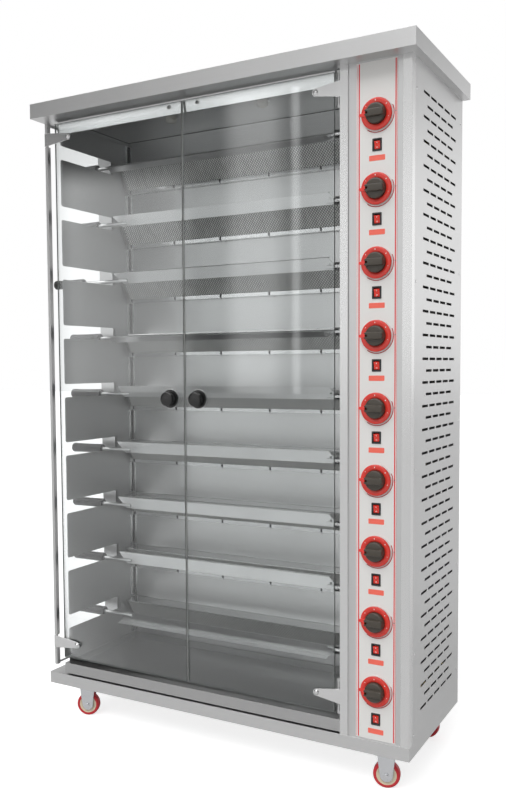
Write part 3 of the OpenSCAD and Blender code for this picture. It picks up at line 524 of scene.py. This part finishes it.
def rocker(i):
    m = moved(STATION_X, FASCIA_Y + 5, knob_z(i) - SWITCH_DROP) @ turned(ROCKER_TILT, "X") @ FACING
    rings = []
    for x, e in ((-8.0, 0.5), (-7.6, 0.0), (7.6, 0.0), (8.0, 0.5)):
        prof = [(-10.4, -6.8), (10.4, -6.8), (10.5 - e, 4.4 - e), (10.1 - e, 5.7 - e), (9.2 - e, 6.0 - e),
                (5, 5.45 - e), (0, 5.0 - e), (-5, 5.45 - e), (-9.2 + e, 6.0 - e), (-10.1 + e, 5.7 - e),
                (-10.5 + e, 4.4 - e)]
        rings.append([(x, y, z) for y, z in prof])
    cap = Shape().loft(rings, m)
    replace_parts(cap.done(f"rocker_cap_{i}", "switch_red", "red_plastic", f"rocker_body_{i}"), f"rocker_{i}")
    s = Shape().block((-0.6, 4.6, 5.2), (0.6, 8.2, 5.95), m, 0.05)
    s.lathe(ring(1.3, 2.1, 5.2, 5.78, 0.05), m @ moved(0, -6.2, 0), 20)
    s.done(f"rocker_marks_{i}", "mark", "red_plastic", f"rocker_body_{i}")


# Fascia lines, side panel screws, burner clips, corner strips
# Lines: left edge and width. Screws: heights of each row, by y. Clips: x along each burner.
LINES = ((1094.6, 0.8), (1099.2, 3.2), (1199.6, 3.2), (1205.0, 0.8))
SCREWS = {36: (1773, 1277, 780, 283, 60), 460: (1776, 1333, 888, 444, 114)}
SCREW_DOME = [(0, 0), (4.2, 0), (4.2, 0.225), (3.6, 0.63), (2.2, 0.945), (0, 1.035)]
CLIPS = (78, 264, 450, 636, 822, 988)
BURNER_DROP = 62


def lines_and_screws():
    s = Shape()
    for x, w in LINES:
        s.block((x, -0.12, 43), (x + w, 0.3, CAP_Z - 6), moved(0, FASCIA_Y, 0), 0.04)
    s.done("fascia_lines", "line_red", "red_plastic")
    s = Shape()
    for y, heights in SCREWS.items():
        for z in heights:
            s.lathe(SCREW_DOME, side(BODY_W, y, z), 16)
    s.done("side_panel_screws", "bright", "polished_stainless")


def burner_clips():
    clips, dark = Shape(), Shape()
    y = BACK_Y - 22
    for i in range(1, TIERS + 1):
        low = axis_z(i) - BURNER_DROP
        for x in CLIPS:
            # dark block beside each clip: its painted shadow on the burner
            dark.block((x, y - 1.2, low + 1), (x + 5, y, low + 12), None, 0.1)
            clips.block((x - 4, y - 2.4, low + 4), (x, y, low + 11), None, 0.3)
            clips.lathe([(0, 0), (2.0, 0), (2.0, 4.4), (1.2, 5), (0, 5)], moved(x + 2, y + 4, low - 5), 10)
    clips.done("burner_clips", "bright", "polished_stainless")
    dark.done("burner_clip_painted_shadows", "shadow", "polished_stainless")


def corners():
    """Bright strips in the back left corner, and dark strips of painted shade in that corner and round the
    ceiling.
    """
    s, corner_shade = Shape(), Shape()
    for i in range(TIERS + 1):
        z0 = axis_z(i) + 20 if i else 78
        z1 = axis_z(i + 1) - 65 if i < TIERS else CAP_Z - 2
        s.block((WALL + 3.2, BACK_Y - 1.6, z0), (WALL + 14, BACK_Y, z1), None, 0.3)
        s.block((WALL, BACK_Y - 24, z0), (WALL + 1.6, BACK_Y - 9, z1), None, 0.3)
        corner_shade.block((WALL, BACK_Y - 9, z0), (WALL + 0.5, BACK_Y - 0.5, z1), None, 0.1)
    s.done("corner_strips", "bright", "polished_stainless")
    x0, y1, z0, z1 = WALL + 1.5, BACK_Y - 1.5, CAP_Z + 10.4, CAP_Z + 12
    corner_shade.block((x0, BACK_Y - 2.4, z0), (DRIVE - 1.5, y1, z1), None, 0.1)
    corner_shade.block((x0, 46, z0), (WALL + 2.4, y1, z1), None, 0.1)
    corner_shade.done("corner_painted_shade", "shadow", "polished_stainless")


def lamps():
    glass, base = Shape(), Shape()
    ribs = [p for n in range(6) for p in ((18.2, -6.5 - n * 2.3), (17.2, -6.5 - n * 2.3 - 1.15))]
    for k in (1, 2):
        m = moved(WALL + (DRIVE - WALL) * k / 3, 187, CAP_Z + 12)
        base.lathe([(0, 0), (24, 0), (24, -4.6), (22.6, -6), (17, -6), (17, -5), (0, -5)], m, 40)
        glass.lathe([(16, -5), *ribs, (16.2, -20), (13, -23), (8, -25), (0, -25.8)], m, 40)
    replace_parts(glass.done("lamp_covers", "lamp", "lamp_glass"), "interior_lamps")
    base.done("lamp_bases", "bright", "polished_stainless")


def catches():
    """Ring catches on the rail, above the door knobs."""
    rings, cores = Shape(), Shape()
    for x in (SEAM - KNOB_OFF, SEAM + KNOB_OFF):
        m = front(x, 30.8, 1838)
        rings.lathe([(3.4, -2), (6, -2), (6, 0.3), (5.6, 0.5), (3.8, 0.5), (3.4, 0.3), (3.4, -2)], m, 32)
        # the dark cores are painted shade in the recess of each ring
        cores.lathe([(0, -2), (3.4, -2), (3.4, 0.1), (0, 0.1)], m, 24)
    rings.done("catch_rings", "mark", "polished_stainless")
    cores.done("catch_cores_painted_shade", "shadow", "polished_stainless")


# Doors: the left leaf has sign 1, the right one -1
HINGE_Z, DOOR_KNOB_Z = (134.0, 1802.0), 961
GLASS_Y, PIN_Y, HINGE_HALF = 24, 29, 21.5         # front of the glass, hinge pins, half height of a plate
LEAF_Z0, LEAF_Z1, LEAF_Y0, LEAF_Y1 = 86.0, 1848.0, GLASS_Y + 0.05, GLASS_Y + 5.95
LEAF_X = {1: (42.0, 530.0), -1: (533.0, 1021.0)}
RIM, SEAM_BRIGHT = 0.35, 1150.0                   # ground edge; above this height the seam edge carries a painted highlight
BOLT_HEAD = [(0, 2), (7.6, 2), (7.6, 2.6), (6.6, 3.6), (6.2, 4.4), (4.6, 5.6), (2.2, 6.2), (0, 6.3)]
BOLT_NUT = [(0, -6), (9, -6), (9, -7), (5.6, -7), (5.6, -9.4), (4, -10), (0, -10)]
DOOR_KNOB = [(0, 0.2), (27.2, 0.2), (27.9, 1.2), (28, 3.4), (27, 4.8), (18.5, 5.2), (17.4, 6.4), (17.4, 10),
             (20.6, 11.2), (21.8, 12.8), (22, 15), (22, 22), (21.2, 24.6), (19, 26.2), (15, 26.8), (0, 27)]
KNOB_NUT = [(0, -6), (11, -6), (11, -9), (9.6, -9.8), (0, -9.8)]


def hinge_plate(s, bolt_x, x_end, z, sign):
    tip = [(bolt_x + sign * x, y) for x, y in arc(0, 0, 10.5, 80, -16, 11)]
    outline = [(x_end, -HINGE_HALF), *reversed(tip), (x_end, HINGE_HALF)]
    s.slab(outline[::sign], 0, 2, front(0, GLASS_Y, z), 0.35)


def hinges(s, sign, pin_x, bolt_x, x_end, eye):
    bore = eye * 0.62
    sleeve = [(bore, -21.4), (eye - 0.4, -21.4), (eye, -21), (eye, 21), (eye - 0.4, 21.4), (bore, 21.4),
              (bore, -21.4)]
    low, high = sorted((pin_x, pin_x + sign * eye))
    for z in HINGE_Z:
        hinge_plate(s, bolt_x, x_end, z, sign)
        s.lathe(sleeve, moved(pin_x, PIN_Y, z), 28)
        s.block((low, 22.2, -21), (high, 25.5, 21), moved(0, 0, z), 0.3)
        m = front(bolt_x, GLASS_Y, z)
        s.lathe(BOLT_HEAD, m, 28)
        s.lathe(BOLT_NUT, m, 24)


def door(name, sign, pin_x, bolt_x, x_end, eye):
    """Fittings, knob and glass edges of a leaf.

    x_end is the fixed end of its hinge plates, eye the radius of the sleeves round its pins.
    """
    body = f"door_{name}"
    s = Shape()
    hinges(s, sign, pin_x, bolt_x, x_end, eye)
    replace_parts(s.done(f"hinge_plates_{name}", "bright", "polished_stainless", body), f"door_fittings_{name}")
    m = front(SEAM - sign * KNOB_OFF, GLASS_Y, DOOR_KNOB_Z)
    s = Shape().lathe(DOOR_KNOB, m, 56).lathe(KNOB_NUT, m, 28)
    s.done(f"door_knob_{name}", "knob_black", "polished_stainless", body)
    s = Shape().lathe(ring(28.0, 29.6, -0.02, 1.1, 0.3), m, 56)
    s.done(f"door_knob_ring_{name}", "bright", "polished_stainless", body)
    # Ground edges of the glass; the upper part of the left leaf's seam edge and a thin strip on the right
    # leaf's seam edge are painted light grey as a highlight
    (x0, x1), y0, y1, lo, hi = LEAF_X[sign], LEAF_Y0, LEAF_Y1, LEAF_Z0, LEAF_Z1
    top = SEAM_BRIGHT if sign > 0 else hi
    s = Shape()
    for a, b in (((x0, y0, lo), (x0 + RIM, y1, hi)), ((x1 - RIM, y0, lo), (x1, y1, top)),
                 ((x0, y0, lo), (x1, y1, lo + RIM)), ((x0, y0, hi - RIM), (x1, y1, hi))):
        s.block(a, b, None, 0.05)
    s.done(f"glass_edges_{name}", "glass_edge", "door_glass", body)
    shine = Shape()
    if sign > 0:
        shine.block((x1 - RIM, y0, top), (x1, y1, hi), None, 0.05)
    else:
        shine.block((x0, 23.85, lo), (x0 + 1.1, 24.15, hi), None, 0.05)
    shine.done(f"seam_shine_{name}", "seam", "door_glass", body)


# Casters: kingpin x and y, turn at rest
CASTERS = ((95, 50, 21), (1143, 50, 14), (95, 431, 15), (1143, 431, -2))
TRAIL, AXLE_Z = 22, -70.5
CHEEK_IN, CHEEK_OUT = 14.0, 17.0
WHEEL_R, WHEEL_HALF = 37.5, 12.5
PLATE_RING = [(5.1, -15), (21, -15), (22, -14.2), (22, -12.8), (21, -12), (5.1, -12), (5.1, -15)]
AXLE_NUT = [(0, 0), (7.6, 0), (8, 0.5), (8, 1), (6.2, 1.3), (6.2, 3.4), (5.2, 4), (0, 4)]


def mirrored(half):
    """Closed profile across the wheel: its left half, the same on the right, and back to the start."""
    return [*half, *((r, -z) for r, z in reversed(half)), half[0]]


def caster(i):
    cx, cy, turn = CASTERS[i - 1]
    base = moved(cx, cy, 0) @ turned(turn, "Z")
    fork, wheel = f"fork_body_{i}", f"wheel_body_{i}"
    s = Shape().lathe(PLATE_RING, base, 40)
    cheek = [(-2.7, -12.4), (-2.7, -17), *arc(TRAIL, AXLE_Z, 18, 187, 12, 15), (45.6, -17), (45.6, -12.4)]
    for sgn, y in ((-1, -CHEEK_IN), (1, CHEEK_OUT)):
        s.slab(cheek, 0, CHEEK_OUT - CHEEK_IN, base @ front(0, y, 0), 0.6)
        m = Matrix(((1, 0, 0, TRAIL), (0, 0, sgn, CHEEK_OUT * sgn), (0, -sgn, 0, AXLE_Z), (0, 0, 0, 1)))
        s.lathe(AXLE_NUT, base @ m, 24)
    s.block((-2.6, -CHEEK_OUT, -15), (TRAIL, CHEEK_OUT, -12.1), base, 0.3)
    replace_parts(s.done(f"caster_fork_visual_{i}", "zinc", "zinc_steel", fork), f"caster_fork_{i}")
    m = base @ Matrix(((1, 0, 0, TRAIL), (0, 0, 1, 0), (0, -1, 0, AXLE_Z), (0, 0, 0, 1)))
    r, w = WHEEL_R, WHEEL_HALF
    s = Shape().lathe(mirrored([(28.2, -w + 0.6), (30, -w), (33.5, -w), (35.8, -w + 1.1), (37.1, -w + 3.4),
                                (r, -w + 6)]), m, 64)
    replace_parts(s.done(f"wheel_tyre_{i}", "wheel", "wheel_red", wheel), f"caster_wheel_{i}")
    s = Shape().lathe(mirrored([(18, -w + 2.6), (26.4, -w + 1.0), (28.3, -w + 0.7)]), m, 48)
    s.done(f"wheel_rim_{i}", "rim", "wheel_red", wheel)
    s = Shape().lathe(mirrored([(4.1, -w - 0.9), (11.4, -w - 0.9), (12, -w - 0.4), (12, -w + 3),
                                (18.2, -w + 3.4)]), m, 40)
    s.done(f"wheel_hub_{i}", "hub_metal", "zinc_steel", wheel)


for i in range(1, TIERS + 1):
    spit(i)
    knob(i)
    rocker(i)
for i in range(1, len(CASTERS) + 1):
    caster(i)
stations()
lines_and_screws()
burner_clips()
corners()
lamps()
catches()
door("left", 1, 5.0, 96.5, 0.0, 5.0)
door("right", -1, 1032.0, 966.5, 1039.0, 7.0)

# Stage: a pale floor, a white world for the camera and soft light
scene.view_settings.view_transform = "Standard"
scene.view_settings.look = "None"

# Soft boxes of the studio as seen from the object, in degrees: middle bearing from the front (positive to
# the right), half width, middle height, half height, soft edge; then the strength
BOXES = (
    (-36.5, 4, 4, 8, 1, 1.60),
    (-28, 1.6, 6, 11, 0.8, 1.85),
    (-25.3, 0.25, 6, 12, 0.2, 2.4),
    (-9, 15, 6, 10, 6, 1.05),
    (-9, 15, 25, 9, 6, 0.60),
    (-10, 50, 50, 15, 6, 3.90),
    (40, 34, 16, 20, 6, 0.10),
    (0, 200, 82, 14, 6, 0.70),
    (180, 75, 6, 10, 6, 1.10),
    (180, 75, 32, 16, 6, 0.35),
)
ROOM = 0.09                                       # between the boxes
CAMERA_GLOW, FLOOR_GLOW = 0.72, 0.22              # floor seen directly and in mirroring surfaces
FLOOR_HALF, FLOOR_GREY = 30, 0.6
KEY_PLACE, KEY_TARGET, KEY_SIZE, KEY_WATTS = (1.6, -3.6, 3.0), (0.0, 0, 1.0), (2.6, 2.0), 6.0
WHITE = (1, 1, 1, 1)


def fade(t, value, half, soft):
    """1 inside the half width given in degrees, 0 outside, with a soft step between."""
    n = t.nodes.new("ShaderNodeMapRange")
    n.interpolation_type = "SMOOTHSTEP"
    n.inputs["From Min"].default_value = math.radians(half - soft)
    n.inputs["From Max"].default_value = math.radians(half + soft)
    n.inputs["To Min"].default_value, n.inputs["To Max"].default_value = 1.0, 0.0
    t.links.new(value, n.inputs["Value"])
    return n.outputs[0]


def stage_world():
    w = bpy.data.worlds.new("studio")
    scene.world = w
    w.use_nodes = True
    t = w.node_tree
    t.nodes.clear()
    out = t.nodes.new("ShaderNodeOutputWorld")
    seen = t.nodes.new("ShaderNodeBackground")
    seen.inputs[0].default_value = WHITE
    lit = t.nodes.new("ShaderNodeBackground")
    lit.inputs[0].default_value = WHITE
    co = t.nodes.new("ShaderNodeTexCoord")
    xyz = t.nodes.new("ShaderNodeSeparateXYZ")
    t.links.new(co.outputs["Generated"], xyz.inputs[0])
    x, y, z = xyz.outputs
    height = math_node(t, "ARCSINE", z)
    fore = math_node(t, "ARCTAN2", x, math_node(t, "MULTIPLY", y, -1.0))
    aft = math_node(t, "ARCTAN2", x, y)
    total = ROOM
    for bearing, wide, up, tall, soft, strength in BOXES:
        off = aft if bearing == 180 else math_node(t, "SUBTRACT", fore, math.radians(bearing))
        across = fade(t, math_node(t, "ABSOLUTE", off), wide, soft)
        rise = math_node(t, "ABSOLUTE", math_node(t, "SUBTRACT", height, math.radians(up)))
        box = math_node(t, "MULTIPLY", across, fade(t, rise, tall, soft))
        total = math_node(t, "ADD", math_node(t, "MULTIPLY", box, strength), total)
    t.links.new(total, lit.inputs[1])
    path = t.nodes.new("ShaderNodeLightPath")
    mix = t.nodes.new("ShaderNodeMixShader")
    t.links.new(path.outputs["Is Camera Ray"], mix.inputs[0])
    t.links.new(lit.outputs[0], mix.inputs[1])
    t.links.new(seen.outputs[0], mix.inputs[2])
    t.links.new(mix.outputs[0], out.inputs[0])


def stage_floor():
    me = bpy.data.meshes.new("floor")
    s = FLOOR_HALF
    me.from_pydata([(-s, -s, 0), (s, -s, 0), (s, s, 0), (-s, s, 0)], [], [(0, 1, 2, 3)])
    ob = bpy.data.objects.new("floor", me)
    scene.collection.objects.link(ob)
    m, t, out = node_tree("floor_white")
    paint = t.nodes.new("ShaderNodeBsdfDiffuse")
    paint.inputs[0].default_value = (*grey(FLOOR_GREY), 1)
    glow = t.nodes.new("ShaderNodeEmission")
    path = t.nodes.new("ShaderNodeLightPath")
    direct = math_node(t, "MULTIPLY", path.outputs["Is Camera Ray"], CAMERA_GLOW)
    mirror = math_node(t, "MULTIPLY", path.outputs["Is Glossy Ray"], FLOOR_GLOW)
    t.links.new(math_node(t, "ADD", direct, mirror), glow.inputs[1])
    add = t.nodes.new("ShaderNodeAddShader")
    t.links.new(paint.outputs[0], add.inputs[0])
    t.links.new(glow.outputs[0], add.inputs[1])
    t.links.new(add.outputs[0], out.inputs[0])
    ob.data.materials.append(m)


def stage_key():
    d = bpy.data.lights.new("key", "AREA")
    d.shape, (d.size, d.size_y), d.energy = "RECTANGLE", KEY_SIZE, KEY_WATTS
    ob = bpy.data.objects.new("key", d)
    scene.collection.objects.link(ob)
    ob.location = KEY_PLACE
    ob.rotation_mode = "QUATERNION"
    ob.rotation_quaternion = (Vector(KEY_TARGET) - Vector(KEY_PLACE)).to_track_quat("-Z", "Y")
    ob.visible_camera = False


stage_world()
stage_floor()
stage_key()

# Camera, solved from the photo's own lines
CAMERA_PLACE = at(1954.8, -2194.7, 1060.6)
YAW, PITCH_DOWN, ROLL = math.radians(29.684), math.radians(3.386), math.radians(-0.4236)
LENS, SENSOR, SHIFT = 39.094, 36.0, (0.0287, 0.0214)


def stage_camera():
    cam = bpy.data.cameras.new("camera")
    ob = bpy.data.objects.new("camera", cam)
    scene.collection.objects.link(ob)
    scene.camera = ob
    ahead = Vector((-math.sin(YAW) * math.cos(PITCH_DOWN), math.cos(YAW) * math.cos(PITCH_DOWN),
                    -math.sin(PITCH_DOWN)))
    level = Vector((math.cos(YAW), math.sin(YAW), 0))
    upright = level.cross(ahead)
    right = math.cos(ROLL) * level + math.sin(ROLL) * upright
    upward = -math.sin(ROLL) * level + math.cos(ROLL) * upright
    ob.matrix_world = Matrix((
        (right.x, upward.x, -ahead.x, CAMERA_PLACE.x), (right.y, upward.y, -ahead.y, CAMERA_PLACE.y),
        (right.z, upward.z, -ahead.z, CAMERA_PLACE.z), (0, 0, 0, 1)))
    cam.lens, cam.sensor_width = LENS, SENSOR
    cam.shift_x, cam.shift_y = SHIFT
    cam.clip_start, cam.clip_end = 0.05, 60


stage_camera()

note_size()
